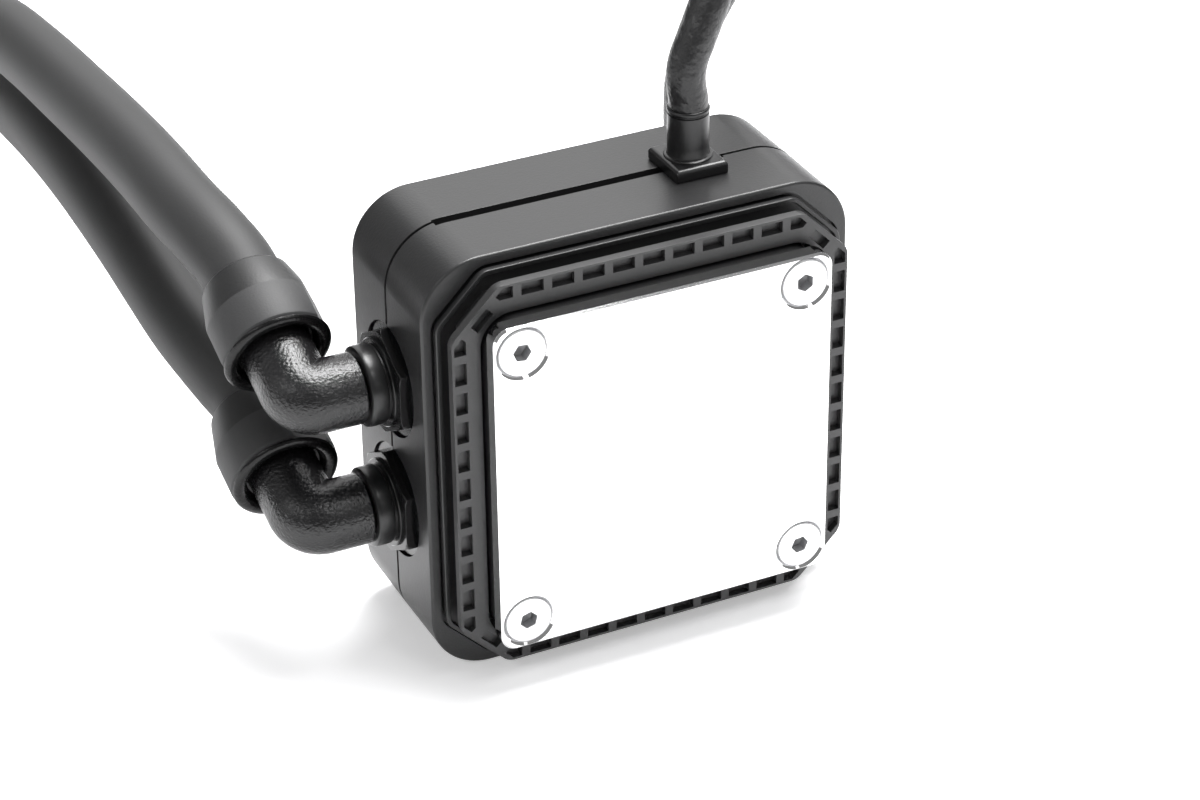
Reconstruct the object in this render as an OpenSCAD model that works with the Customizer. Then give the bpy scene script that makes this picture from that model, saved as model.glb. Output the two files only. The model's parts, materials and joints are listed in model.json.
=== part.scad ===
// Liquid cooling block for a processor, with its pump, two swivel elbows, hoses and pump lead.
// The block stands on one of its sides, as when it is unpacked and set down.
// Origin: centre of the cold plate's contact face. X right, Z up, +Y from the contact face
// into the block. Millimetres.

/* [Block] */
// How far the shells stand out past the retention ring on each side
shell_land = 2.6; // [2.4:0.1:4]
// Corner radius of the shells, seen from the front
shell_r = 9.5; // [8.5:0.1:12]
// How far the shells' front edge lies behind the plate face
shell_front = 9.1; // [9:0.1:11]
// Depth of the front shell, from its front edge to the parting line
front_depth = 12.8; // [12.6:0.1:16]
// Depth of the rear shell
rear_depth = 14; // [13:0.1:18]
// Wall thickness of the shells
wall = 2.2; // [1.8:0.1:2.6]
// Rounding of the front shell's front edge
front_edge_r = 0.5; // [0.4:0.05:1.3]
// Rounding of the rear shell's back edge
rear_edge_r = 1.1; // [0.8:0.1:2]
// Width of the seam between the shells
seam = 0.4; // [0.1:0.05:0.5]
// Width of the slot in the top of the seam, left of the lead
slot_w = 1.8; // [1:0.1:2.4]
// Width of the slot in the top of the seam, right of the lead
slot_thin_w = 0.9; // [0.5:0.1:1.6]
// Length of the slot on the left of the lead's gland
slot_left = 37; // [20:1:38]
// Length of the slot on the right of the lead's gland
slot_right = 1.8; // [1:0.1:4]

/* [Cold plate] */
// Width and height of the cold plate
plate_w = 55; // [54:0.5:55.5]
// Thickness of the cold plate
plate_t = 2.6; // [2.4:0.1:3]
// Corner radius of the cold plate
plate_r = 2.6; // [2:0.1:4]
// Bevel round the face of the cold plate
plate_bevel = 0.35; // [0.1:0.05:0.6]
// Distance of the plate screws from the plate's sides
screw_inset = 4.5; // [4.3:0.1:5.5]
// Thread diameter of the plate screws
screw_d = 4; // [3:0.5:4]
// Head diameter of the plate screws
screw_head = 7.8; // [7.4:0.1:8]
// Key size of the plate screws
screw_key = 2.5; // [2:0.5:3]
// Length of the plate screws
screw_len = 8; // [7.5:0.5:9]
// Width of the block of cooling fins
fin_field = 24; // [18:1:26]
// Number of cooling fins
fin_count = 20; // [10:1:22]
// Thickness of one cooling fin
fin_t = 0.5; // [0.3:0.1:0.7]
// Height of the cooling fins
fin_h = 2; // [1.5:0.1:2.4]

/* [Retention ring] */
// How far the ring stands out past the plate on each side
ring_land = 4.8; // [4.7:0.05:5]
// Length taken off each corner of the ring, along a side
ring_cut = 7.5; // [7:0.1:8.5]
// How far the ring's face lies behind the plate face
ring_front = 4.1; // [3.6:0.1:4.4]
// Thickness of the ring's flange
ring_t = 1.5; // [1.4:0.1:2]
// Width of the rim outside the pockets
ring_rim = 0.4; // [0.3:0.05:0.6]
// Width of a pocket, across the ring
pocket_w = 1.85; // [1.4:0.05:2]
// Length of a pocket, along the ring
pocket_l = 3.5; // [2.5:0.1:3.8]
// Depth of a pocket
pocket_deep = 1.15; // [0.6:0.05:1.3]
// Spacing of the pockets
pocket_pitch = 4.85; // [4.5:0.05:4.9]
// Pockets on each side, without the corner ones
pocket_count = 9; // [5:2:9]

/* [Ports and elbows] */
// Depth of the port axes behind the plate face
port_y = 22; // [21.6:0.1:22.4]
// Spacing of the two ports
port_pitch = 21; // [20.6:0.1:22]
// Radius of the round recess about each port
recess_r = 8.5; // [8.4:0.1:9]
// Depth of the round recess
recess_deep = 1.2; // [0.8:0.1:1.4]
// Size of the fitting's hexagon across its flats
hex_af = 14; // [13:0.5:14]
// Height of the fitting's hexagon
hex_h = 2.7; // [2:0.1:3.2]
// Diameter of the swivel collar between hexagon and elbow
collar_d = 11.8; // [11.2:0.1:12.4]
// Length of the swivel collar
collar_len = 3.7; // [3:0.1:4.5]
// Outer diameter of the elbow
elbow_d = 10.2; // [9.8:0.1:10.6]
// Bend radius of the elbow, at its centre line
elbow_bend = 3; // [2.8:0.1:4]
// Distance from the swivel joint to the elbow's second leg
elbow_reach = 8.9; // [8.6:0.1:10]
// Bore through the elbow and fittings
water_d = 5.4; // [4:0.2:5.6]
// How far the upper elbow's second leg rises, in degrees above level
rise_upper = 23; // [23:1:23]
// How far the lower elbow's second leg rises, in degrees above level
rise_lower = 20; // [20:1:20]

/* [Hoses] */
// Outer diameter of the hoses
hose_d = 12; // [12:0.5:12]
// Largest diameter of the hose sleeves
sleeve_d = 17.2; // [16.5:0.1:17.4]
// Length of the hose sleeves
sleeve_len = 16; // [16:0.5:16]
// Width across the two flats of a hose sleeve
sleeve_flats = 16; // [15.4:0.1:17.4]
// Distance from the elbow's bend to the sleeve's mouth
sleeve_start = 9.5; // [9.5:0.5:9.5]
// Turn of the upper sleeve's flats, in degrees
flats_turn_upper = 25; // [0:5:90]
// Turn of the lower sleeve's flats, in degrees
flats_turn_lower = 62; // [0:2:90]

/* [Pump] */
// Diameter of the pump chamber
chamber_d = 45; // [45:0.5:46]
// Diameter of the impeller
impeller_d = 28; // [22:1:30]
// Number of impeller blades
blade_count = 6; // [5:1:8]
// Diameter of the rotor magnet
magnet_d = 16.2; // [14:0.2:16.2]
// Gap between magnet and isolation can
can_gap = 0.5; // [0.3:0.1:0.5]
// Wall of the isolation can
can_wall = 0.9; // [0.6:0.1:0.9]
// Diameter of the shaft
shaft_d = 2.4; // [2:0.1:2.8]
// Running clearance of the bushes on the shaft
bush_gap = 0.1; // [0.05:0.05:0.2]
// Number of stator poles
pole_count = 6; // [6:1:6]

/* [Pump lead] */
// Distance of the gland to the right of the block's middle
gland_x = 14.3; // [8:0.1:18]
// Depth of the gland behind the plate face
gland_y = 21.3; // [21:0.1:22]
// Width of the gland's pad, across
pad_w = 8.6; // [8:0.1:10]
// Depth of the gland's pad
pad_d = 9.8; // [9:0.1:11]
// Height of the gland's pad
pad_h = 2; // [1.4:0.1:2.6]
// Diameter of the gland's neck
neck_d = 6.6; // [6.4:0.1:7.2]
// Height of the gland's neck
neck_h = 8; // [8:0.1:8]
// Diameter of the pump lead
lead_d = 6; // [6:0.5:6]

/* [Hidden] */
$fn = 64;

ring_half = plate_w / 2 + ring_land;
block_half = ring_half + shell_land;
part_y = shell_front + front_depth;
back_y = part_y + rear_depth;
inner_half = block_half - wall;
inner_r = shell_r - wall;
back_inner = back_y - wall;
// How much each shell narrows away from the parting line
front_draft = 0.1;
rear_draft = 0.1;
// Thickness of the thin slices between which the shells' outer form is stretched
slice = 0.01;

// The base's raised platform, the shell's rim round it and the flange behind it
platform_y = shell_front - 0.3;
platform_half = block_half - 2.2;
platform_cut = ring_cut + 0.2;
ring_round = 2.4;
platform_r = 2.4;
rim_gap = 0.7;
flange_y = shell_front + 1.3;
flange_t = 2;
spigot_r = 24.5;
spigot_end = flange_y + 3.6;
boss_half = plate_w / 2 - 0.3;
boss_gap = 0.6;
boss_r = 5;
neck_half = ring_half - ring_rim - pocket_w - 0.5;
neck_cut = ring_cut - 3;
slide_gap = 0.15;

shell_screw_half = inner_half - 5.7;
shell_boss_r = 3;
shell_screw_d = 2.5;
shell_screw_len = 19;

screw_half = plate_w / 2 - screw_inset;
// Gap round a countersunk head at the plate's face
head_gap = 0.4;
// How far the heads lie below the plate's face
head_sink = 0.15;
fin_bay = fin_field + 1;
jet_y = plate_t + fin_h + 0.2;
jet_t = 1;
bay_end = jet_y + jet_t;
gasket_r = 20.2;
gasket_d = 1.6;

// Pump, from the base towards the back
chamber_y = spigot_end;
chamber_end = chamber_y + 11;
cavity_d = impeller_d + 5;
cavity_end = chamber_y + 5.2;
can_in = magnet_d / 2 + can_gap;
can_out = can_in + can_wall;
can_flange_r = 16;
can_flange_t = 1.2;
core_y = chamber_end + can_flange_t;
core_t = 4.2;
yoke_in = 15;
yoke_out = 20;
pole_r = can_out + 0.4;
pole_w = 3.4;
pole_y = core_y + 1.1;
pole_t = core_t - 1.9;
coil_wrap = 0.9;
board_t = 1;
board_r = yoke_out + 2;
chip_w = 6;
chip_t = 0.7;
chip_out = 12;
board_pad = 0.3;
board_y = back_inner - board_pad - board_t;
can_end = board_y - 0.4;
shaft_y = chamber_y - 1.4;
shaft_end = can_end - can_wall;
long_screw_r = 19.4;
long_screw_d = 2.5;
bush_r = 3;
bush_hole = shaft_d / 2 + bush_gap;
rotor_front = chamber_y + 1.2;
blade_h = 2.4;
blade_t = 0.9;
blade_rake = 30;
hub_r = 4.6;
blade_root = 3.9;
blade_len = impeller_d / 2 - 5;
disc_t = 1.2;
disc_y = rotor_front + blade_h;
magnet_y = disc_y + disc_t;
magnet_end = shaft_end - 1.6;
washer_t = 0.4;

// Ports: X of the wall's face, the hexagon's faces and the swivel joint
wall_x = -block_half;
seat_x = wall_x + recess_deep;
hex_x = seat_x - hex_h;
swivel_x = hex_x - collar_len;
swivel_gap = 0.15;
bend_x = swivel_x - elbow_reach;
shank_d = 11;
shank_end = seat_x + 7.4;
spigot_d = 7.6;
spigot_len = 4.6;
spigot_gap = 0.08;
seal_d = 0.7;
port_tube_d = 13.6;
barb_d = 7.6;
barb_end = sleeve_start + 14;
hose_start = sleeve_start + 1.8;
sleeve_band = 6.9;
sleeve_gap = 0.12;

// Far fittings, from the hose's end outwards
tail_collar = 1.5;
tail_nut_end = 5.5;
tail_end = 12.5;
tail_thread_d = 9.6;
tail_barb = barb_end - hose_start;

// Gland and lead
stem_w = 6;
stem_gap = 0.15;
top_z = block_half;
neck_top = top_z + pad_h + neck_h;
neck_lip = 0.6;

// Routes of the cords, as points chosen along them. Where a hose leaves its elbow the route
// follows the leg, and from there it arches over and comes down to the surface.
upper_route = [[-49, 32.46, 14.94], [-49, 38, 17.29], [-49, 45.93, 20.66], [-50.2, 53, 22.9], [-51.4, 62, 24.1],
    [-52, 76, 24.8], [-52.4, 92, 24.4], [-52.8, 112, 23], [-53.2, 132, 21.3], [-53.8, 150, 19],
    [-54.6, 170, 14.2], [-55.6, 190, 6.4], [-56.6, 208, -3.2], [-57.4, 225, -13.8], [-57.9, 240, -22.6],
    [-58.1, 250, -26.6], [-58.2, 260, -28.7], [-58.2, 271, -28.3], [-58.2, 284, -26.9], [-58.2, 300, -26.9]];
lower_route = [[-49, 32.67, -6.62], [-49, 38.44, -4.51], [-49, 45.96, -1.78], [-50.1, 51, -0.1], [-51.1, 57, 1.4],
    [-51.8, 65, 2.6], [-52, 75, 4], [-52, 87, 5.4], [-51.9, 101, 6.3], [-51.6, 116, 6.3],
    [-51.2, 132, 5.2], [-50.6, 147, 3], [-49.8, 163, 0], [-48.6, 179, -4.6], [-47, 194, -10.6],
    [-45.2, 208, -17], [-43.6, 221, -22.6], [-42.2, 234, -26.8], [-41.2, 247, -28.7], [-40.4, 260, -28.7],
    [-40, 274, -28.5], [-40, 290, -26.9], [-40, 306, -26.9]];
lead_route = [[14.3, 21.3, 44.96], [14.3, 21.3, 46], [14, 21.3, 48], [13.9, 21.3, 50], [14.4, 21.4, 52.4], [15.6, 21.6, 55],
    [17.1, 22, 58], [19, 22.8, 61.4], [21.2, 24.6, 65], [24.4, 28.8, 69], [28.6, 35.4, 71.8], [33.6, 43.4, 72.6],
    [38.8, 51.6, 70.4], [43.6, 59.2, 65], [47.6, 65.6, 57.4], [49.8, 70.2, 49.6], [50, 72.8, 42.4],
    [48.4, 74, 37.6], [46.2, 74.6, 33.4], [44.1, 74.9, 29.5], [42.3, 75, 25.5], [41, 75.3, 21], [40.9, 75.8, 16],
    [41.2, 76.4, 10], [41.6, 77.8, 0], [42, 80.2, -11], [43.2, 84.6, -21.5], [44.6, 90.4, -28.6],
    [46.4, 97.4, -31.6], [47.6, 105, -31.8], [46, 112.6, -31.8], [40.6, 118.4, -31.8], [33, 120.4, -31.8],
    [25.4, 117.6, -31.8], [19.6, 111.4, -31.8], [15, 103, -31.8], [10.4, 94, -31.8]];
lead_end = lead_route[len(lead_route) - 1];
lead_way = lead_end - lead_route[len(lead_route) - 2];
plug_w = 7.6;
plug_h = 5.8;
plug_len = 12;

function unit(v) = v / norm(v);
function heading(p, i) = unit(p[min(i + 1, len(p) - 1)] - p[max(i - 1, 0)]);
function hoop(p, i, r, n, side) =
    let (t = heading(p, i), s = unit(cross(t, side)), u = cross(s, t))
    [for (k = [0 : n - 1]) p[i] + r * (cos(360 * k / n) * s + sin(360 * k / n) * u)];

// Extrudes a shape drawn in X and Z from depth y0 back to y1
module slab(y0, y1)
    translate([0, y1, 0]) rotate([90, 0, 0]) linear_extrude(y1 - y0) children();

// A cylinder along Y
module rod(y0, y1, r)
    translate([0, y1, 0]) rotate([90, 0, 0]) cylinder(h = y1 - y0, r = r);

// A cylinder along X, on a port's axis
module port_rod(z, x0, x1, r)
    translate([x0, port_y, z]) rotate([0, 90, 0]) cylinder(h = x1 - x0, r = r);

// A square with round corners, centred
module round_square(half, r) {
    square([2 * half, 2 * (half - r)], center = true);
    square([2 * (half - r), 2 * half], center = true);
    for (x = [-1, 1], z = [-1, 1]) translate([x * (half - r), z * (half - r)]) circle(r);
}

// A square with its corners cut off
module cut_square(half, cut)
    intersection() {
        square(2 * half, center = true);
        rotate(45) square(sqrt(2) * (2 * half - cut), center = true);
    }

// The same with the eight angles that the cuts leave rounded off
module soft_cut_square(half, cut, r)
    offset(r = r, $fn = 48) cut_square(half - r, cut - (2 - sqrt(2)) * r);

// Copies at the four corners of a square
module corners(half)
    for (x = [-1, 1], z = [-1, 1]) translate([x * half, 0, z * half]) children();

// Copies at the two ports
module ports()
    for (z = [-1, 1]) translate([0, 0, z * port_pitch / 2]) children();

// Outer form of a shell between slices, each [depth, inset]
module shell_form(slices)
    hull() for (s = slices) slab(s[0], s[0] + slice) round_square(block_half - s[1], shell_r - s[1]);

// What both shells leave open: the ports with their recesses, the gland and the slot in the seam
module shell_openings() {
    ports() {
        port_rod(0, wall_x - 1, seat_x, recess_r);
        port_rod(0, wall_x - 1, -inner_half + 1, shank_d / 2 + 0.3);
    }
    translate([gland_x - stem_w / 2 - stem_gap, gland_y - stem_w / 2 - stem_gap, inner_half - 1])
        cube([stem_w + 2 * stem_gap, stem_w + 2 * stem_gap, wall + 2]);
    translate([gland_x - pad_w / 2 - slot_left, part_y - slot_w / 2, top_z - wall + 0.5])
        cube([slot_left + 1, slot_w, wall]);
    translate([gland_x + pad_w / 2 - 1, part_y - slot_thin_w / 2, top_z - wall + 0.5])
        cube([slot_right + 1, slot_thin_w, wall]);
}

module rear_shell()
    color("#2a2a2c") difference() {
        union() {
            difference() {
                shell_form([[part_y + seam, 0], [back_y - rear_edge_r, rear_draft],
                    [back_y - 0.3 * rear_edge_r, rear_draft + 0.3 * rear_edge_r],
                    [back_y - slice, rear_draft + rear_edge_r]]);
                slab(part_y, back_inner) round_square(inner_half, inner_r);
            }
            corners(shell_screw_half) rod(part_y + seam, back_inner + 0.5, shell_boss_r);
            // Pads that carry the circuit board
            for (a = [0, 90, 180, 270]) rotate([0, a, 0]) translate([20, 0, 0])
                rod(board_y + board_t, back_inner + 0.5, 1.5);
        }
        corners(shell_screw_half) rod(part_y, part_y + 9, shell_screw_d / 2);
        shell_openings();
    }

module front_shell()
    color("#303033") difference() {
        union() {
            difference() {
                shell_form([[shell_front, front_draft + front_edge_r],
                    [shell_front + 0.3 * front_edge_r, front_draft + 0.3 * front_edge_r],
                    [shell_front + front_edge_r, front_draft], [part_y - slice, 0]]);
                slab(flange_y + flange_t, part_y + 1) round_square(inner_half, inner_r);
            }
            // Tongue behind the seam, on which the rear shell sits
            slab(part_y - 1, part_y + seam) difference() {
                round_square(inner_half + wall / 2, inner_r + wall / 2);
                round_square(inner_half, inner_r);
            }
            corners(shell_screw_half) rod(flange_y + flange_t - 1, part_y + seam, shell_boss_r);
        }
        slab(shell_front - 1, flange_y)
            soft_cut_square(platform_half + rim_gap, platform_cut, platform_r + rim_gap);
        rod(shell_front, flange_y + flange_t + 1, spigot_r + slide_gap);
        corners(shell_screw_half) {
            rod(shell_front, part_y + 1, shell_screw_d / 2 + 0.2);
            rod(shell_front, flange_y + 1.2, shell_screw_d + 0.2);
        }
        shell_openings();
    }

// One pocket band of the ring, for its upper side
module side_pockets() {
    band = ring_half - ring_rim - pocket_w;
    first = (pocket_count - 1) / 2;
    rib = pocket_pitch - pocket_l;
    last_end = first * pocket_pitch + pocket_l / 2 + rib;
    for (k = [-first : first]) translate([k * pocket_pitch - pocket_l / 2, band]) square([pocket_l, pocket_w]);
    // The last pocket at each end is cut off along the corner's own rib
    for (m = [0, 1]) mirror([m, 0]) intersection() {
        translate([last_end, band]) square([ring_cut, pocket_w]);
        rotate(45) translate([0, pocket_l / 2 + rib]) square([2 * ring_half, ring_half]);
        cut_square(ring_half - ring_rim, ring_cut);
    }
}

// The square pocket on a cut corner
module corner_pocket() {
    reach = (2 * ring_half - ring_cut) / sqrt(2);
    rotate(45) translate([reach - ring_rim - pocket_w, -pocket_l / 2]) square([pocket_w, pocket_l]);
}

module retention_ring()
    color("#39393b") difference() {
        union() {
            slab(ring_front, ring_front + ring_t) soft_cut_square(ring_half, ring_cut, ring_round);
            slab(ring_front + ring_t, platform_y) cut_square(neck_half, neck_cut);
        }
        slab(ring_front - 1, platform_y + 1) round_square(boss_half + boss_gap, boss_r);
        slab(ring_front - 1, ring_front + pocket_deep) for (a = [0, 90, 180, 270]) rotate(a) {
            side_pockets();
            corner_pocket();
        }
    }

module pump_base()
    color("#232325") difference() {
        union() {
            slab(plate_t, platform_y) round_square(boss_half, boss_r);
            slab(platform_y, flange_y) soft_cut_square(platform_half, platform_cut, platform_r);
            rod(flange_y, spigot_end, spigot_r);
        }
        // Bay over the fins, with the jet plate's seat, and the ways through to the pump
        translate([-fin_bay / 2, plate_t - 1, -fin_bay / 2]) cube([fin_bay, bay_end + 1 - plate_t, fin_bay]);
        for (a = [45, 135, 225, 315]) rotate([0, a, 0]) translate([6, 0, 0]) rod(bay_end - 1, spigot_end + 1, 1.8);
        rod(shaft_y, spigot_end + 1, shaft_d / 2);
        translate([0, plate_t, 0]) rotate([90, 0, 0]) rotate_extrude()
            translate([gasket_r - gasket_d / 2 - 0.2, -gasket_d]) square([gasket_d + 0.4, gasket_d + 1]);
        corners(screw_half) rod(plate_t - 1, head_sink + screw_len + 0.3, screw_d / 2);
        for (a = [45, 135, 225, 315]) rotate([0, a, 0]) translate([long_screw_r, 0, 0])
            rod(spigot_end - 5, spigot_end + 1, long_screw_d / 2);
    }

module cold_plate() {
    pitch = (fin_field - fin_t) / (fin_count - 1);
    color("#e6e7ea") difference() {
        union() {
            slab(plate_bevel, plate_t) round_square(plate_w / 2, plate_r);
            hull() {
                slab(0, slice) round_square(plate_w / 2 - plate_bevel, plate_r - plate_bevel, $fn = 32);
                slab(plate_bevel, plate_bevel + slice) round_square(plate_w / 2, plate_r, $fn = 32);
            }
            for (k = [0 : fin_count - 1])
                translate([-fin_field / 2 + k * pitch, plate_t - 0.1, -fin_field / 2])
                    cube([fin_t, fin_h + 0.1, fin_field]);
        }
        corners(screw_half) {
            rod(-1, plate_t + 1, screw_d / 2 + 0.2);
            translate([0, -slice, 0]) rotate([-90, 0, 0])
                cylinder(h = screw_head / 2 + head_gap - screw_d / 2, r1 = screw_head / 2 + head_gap, r2 = screw_d / 2);
        }
    }
}

module plate_screws()
    color("#dcdde0") corners(screw_half) difference() {
        union() {
            translate([0, head_sink, 0]) rotate([-90, 0, 0])
                cylinder(h = (screw_head - screw_d) / 2 + 0.1, r1 = screw_head / 2, r2 = screw_d / 2 - 0.1);
            rod(head_sink + 1, head_sink + screw_len, screw_d / 2 - 0.05);
        }
        translate([0, head_sink - 1, 0]) rotate([-90, 0, 0])
            cylinder(h = 2.8, d = screw_key / cos(30), $fn = 6);
    }

module plate_gasket()
    color("#18181a") translate([0, plate_t + gasket_d / 2, 0]) rotate([90, 0, 0])
        rotate_extrude() translate([gasket_r, 0]) circle(d = gasket_d, $fn = 24);

module jet_plate()
    color("#8a8c90") difference() {
        translate([-fin_bay / 2 + 0.1, jet_y, -fin_bay / 2 + 0.1]) cube([fin_bay - 0.2, jet_t, fin_bay - 0.2]);
        translate([-1, jet_y - 1, -fin_field / 2 + 2]) cube([2, jet_t + 2, fin_field - 4]);
        for (a = [45, 135, 225, 315]) rotate([0, a, 0]) translate([6, 0, 0]) rod(jet_y - 1, bay_end + 1, 1.4);
    }

module long_screw_places()
    for (a = [45, 135, 225, 315]) rotate([0, a, 0]) translate([long_screw_r, 0, 0]) children();

module pump_chamber()
    color("#3a3c40") difference() {
        union() {
            rod(chamber_y, chamber_end, chamber_d / 2);
            long_screw_places() rod(chamber_end - 1, core_y, 2.8);
            difference() {
                ports() port_rod(0, -inner_half + 0.3, -chamber_d / 2 + 5, port_tube_d / 2);
                rod(chamber_end, back_y, yoke_out + 0.6);
            }
        }
        rod(chamber_y - 1, cavity_end, cavity_d / 2);
        rod(chamber_y, chamber_end + 1, can_in);
        ports() {
            port_rod(0, -inner_half - 1, shank_end + 0.6, shank_d / 2 + 0.05);
            port_rod(0, -inner_half, -10.4, 3);
            translate([-11.4, 0, 0]) rod(chamber_y, port_y, 2.4);
        }
        long_screw_places() rod(chamber_y - 1, core_y + 1, long_screw_d / 2 + 0.1);
    }

module isolation_can()
    color("#b9bbbf") difference() {
        union() {
            rod(chamber_end, core_y, can_flange_r);
            rod(chamber_end, can_end, can_out);
        }
        difference() {
            rod(chamber_end - 1, shaft_end, can_in);
            rod(shaft_end - 1.2, can_end, shaft_d / 2 + 1);
        }
        rod(shaft_end - 2, shaft_end, shaft_d / 2);
    }

module stator_core()
    color("#8d8f93") union() {
        difference() {
            union() {
                rod(core_y, core_y + core_t, yoke_out);
                long_screw_places() rod(core_y, core_y + core_t, 2.8);
            }
            rod(core_y - 1, core_y + core_t + 1, yoke_in);
            long_screw_places() rod(core_y - 1, core_y + core_t + 1, long_screw_d / 2 + 0.1);
        }
        for (k = [0 : pole_count - 1]) rotate([0, k * 360 / pole_count, 0])
            translate([pole_r, pole_y, -pole_w / 2]) cube([yoke_in + 1 - pole_r, pole_t, pole_w]);
    }

module stator_coils()
    color("#a8622d") for (k = [0 : pole_count - 1]) rotate([0, k * 360 / pole_count, 0]) difference() {
        translate([pole_r + 0.8, pole_y - coil_wrap, -pole_w / 2 - 1.5])
            cube([yoke_in - pole_r - 1.4, pole_t + 2 * coil_wrap, pole_w + 3]);
        translate([pole_r - 1, pole_y, -pole_w / 2]) cube([yoke_in, pole_t, pole_w]);
    }

module circuit_board()
    color("#1d5a35") union() {
        rod(board_y, board_y + board_t, board_r);
        // Two chips on the side that faces the stator
        for (z = [-chip_out, chip_out])
            translate([-chip_w / 2, board_y - chip_t, z - chip_w / 3]) cube([chip_w, chip_t + 0.1, chip_w * 2 / 3]);
    }

module pump_screws()
    color("#b4b6b9") long_screw_places() difference() {
        union() {
            rod(spigot_end - 4.4, core_y + core_t, long_screw_d / 2 - 0.05);
            rod(core_y + core_t, core_y + core_t + 0.9, 2.2);
        }
        translate([0, core_y + core_t + 1, 0]) rotate([90, 0, 0]) cylinder(h = 0.7, d = 1.6, $fn = 6);
    }

module shell_screws()
    color("#b4b6b9") corners(shell_screw_half) difference() {
        union() {
            rod(flange_y + 0.1, flange_y + 1.2, shell_screw_d);
            rod(flange_y + 1, flange_y + shell_screw_len, shell_screw_d / 2 - 0.05);
        }
        rod(flange_y - 1, flange_y + 0.8, 0.7);
    }

module pump_shaft()
    color("#f0efe9") rod(shaft_y, shaft_end, shaft_d / 2);

module thrust_washers()
    color("#d8d5cc") for (y = [chamber_y + 0.1, shaft_end - 1.2 - washer_t]) difference() {
        rod(y, y + washer_t, shaft_d / 2 + 1);
        rod(y - 1, y + washer_t + 1, shaft_d / 2 + 0.02);
    }

module impeller()
    color("#d9d6cb") difference() {
        union() {
            rod(disc_y, disc_y + disc_t, impeller_d / 2);
            rod(rotor_front, disc_y + disc_t, hub_r);
            // Blades raked back from the hub
            for (k = [0 : blade_count - 1]) rotate([0, k * 360 / blade_count, 0])
                translate([blade_root, rotor_front, 0]) rotate([0, blade_rake, 0])
                    translate([0, 0, -blade_t / 2]) cube([blade_len, blade_h + 0.1, blade_t]);
        }
        rod(rotor_front - 1, disc_y + 2, bush_r);
    }

module rotor_magnet()
    color("#4a4a4e") difference() {
        rod(magnet_y, magnet_end, magnet_d / 2);
        rod(magnet_y - 1, magnet_end + 1, bush_r);
    }

module rotor_bushes()
    color("#ece7d8") for (y = [rotor_front, magnet_end - 2.6]) difference() {
        rod(y, y + 2.6, bush_r);
        rod(y - 1, y + 4, bush_hole);
    }

module cable_gland()
    color("#1c1c1e") translate([gland_x, gland_y, 0]) difference() {
        union() {
            hull() {
                translate([-pad_w / 2, -pad_d / 2, top_z]) cube([pad_w, pad_d, 0.5]);
                translate([-pad_w / 2 + 0.8, -pad_d / 2 + 0.8, top_z]) cube([pad_w - 1.6, pad_d - 1.6, pad_h]);
            }
            translate([0, 0, top_z + pad_h - 0.1]) cylinder(h = neck_h + 0.1, d = neck_d);
            translate([0, 0, top_z + pad_h - 0.1]) cylinder(h = 0.7, d1 = neck_d + 1.2, d2 = neck_d);
            translate([0, 0, neck_top - neck_lip]) cylinder(h = neck_lip, d = neck_d + 0.5);
            translate([-stem_w / 2, -stem_w / 2, inner_half - 1]) cube([stem_w, stem_w, wall + 1.5]);
            translate([-stem_w / 2 - 1, -stem_w / 2 - 1, inner_half - 1.4])
                cube([stem_w + 2, stem_w + 2, 1.2]);
        }
        translate([0, 0, inner_half - 2]) cylinder(h = neck_top, d = 3.6);
    }

// A cord swept along its route as a tube with n sides
module cord(route, d, n, side) {
    last = len(route) - 1;
    polyhedron(
        points = [for (i = [0 : last]) each hoop(route, i, d / 2, n, side)],
        faces = concat(
            [[for (k = [n - 1 : -1 : 0]) k]],
            [[for (k = [0 : n - 1]) last * n + k]],
            [for (i = [0 : last - 1], k = [0 : n - 1]) [i * n + k, i * n + (k + 1) % n, (i + 1) * n + (k + 1) % n]],
            [for (i = [0 : last - 1], k = [0 : n - 1]) [i * n + k, (i + 1) * n + (k + 1) % n, (i + 1) * n + k]]
        ));
}

module pump_cable()
    color("#202022") cord(lead_route, lead_d, 10, [1, 0, 0.2]);

module at_lead_end()
    translate(lead_end) rotate([0, 0, atan2(lead_way.y, lead_way.x) - 90]) children();

module cable_plug()
    color("#232325") at_lead_end() difference() {
        union() {
            translate([-plug_w / 2, 0, -lead_d / 2]) cube([plug_w, plug_len, plug_h]);
            for (x = [-2.54, 2.54]) translate([x - 0.5, 3, plug_h - lead_d / 2]) cube([1, plug_len - 5, 0.8]);
        }
        for (x = [-2.54, 0, 2.54]) translate([x - 0.8, plug_len - 8, -0.9]) cube([1.6, 9, 1.6]);
    }

module plug_terminals()
    color("#c9a24a") at_lead_end() for (x = [-2.54, 0, 2.54])
        translate([x - 0.7, plug_len - 8, -0.8]) difference() {
            cube([1.4, 6, 1.4]);
            translate([0.3, 2, 0.3]) cube([0.8, 5, 0.8]);
        }

// Fixed part of a port: threaded shank, hexagon and the spigot on which the elbow turns
module port_fitting(z)
    color("#161618") difference() {
        union() {
            port_rod(z, seat_x - 0.5, shank_end, shank_d / 2);
            translate([hex_x, port_y, z]) rotate([0, 90, 0]) intersection() {
                cylinder(h = hex_h, d = hex_af / cos(30), $fn = 6);
                cylinder(h = hex_h + 3, r1 = hex_af / 2 + 0.2, r2 = hex_af / 2 + 3.2);
            }
            port_rod(z, swivel_x - spigot_len, hex_x + 1, spigot_d / 2);
        }
        port_rod(z, swivel_x - spigot_len - 1, shank_end + 1, water_d / 2);
        translate([swivel_x - 2.6, port_y, z]) rotate([0, 90, 0]) rotate_extrude()
            translate([spigot_d / 2 - seal_d, 0]) square([2, seal_d + 0.4]);
    }

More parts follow.
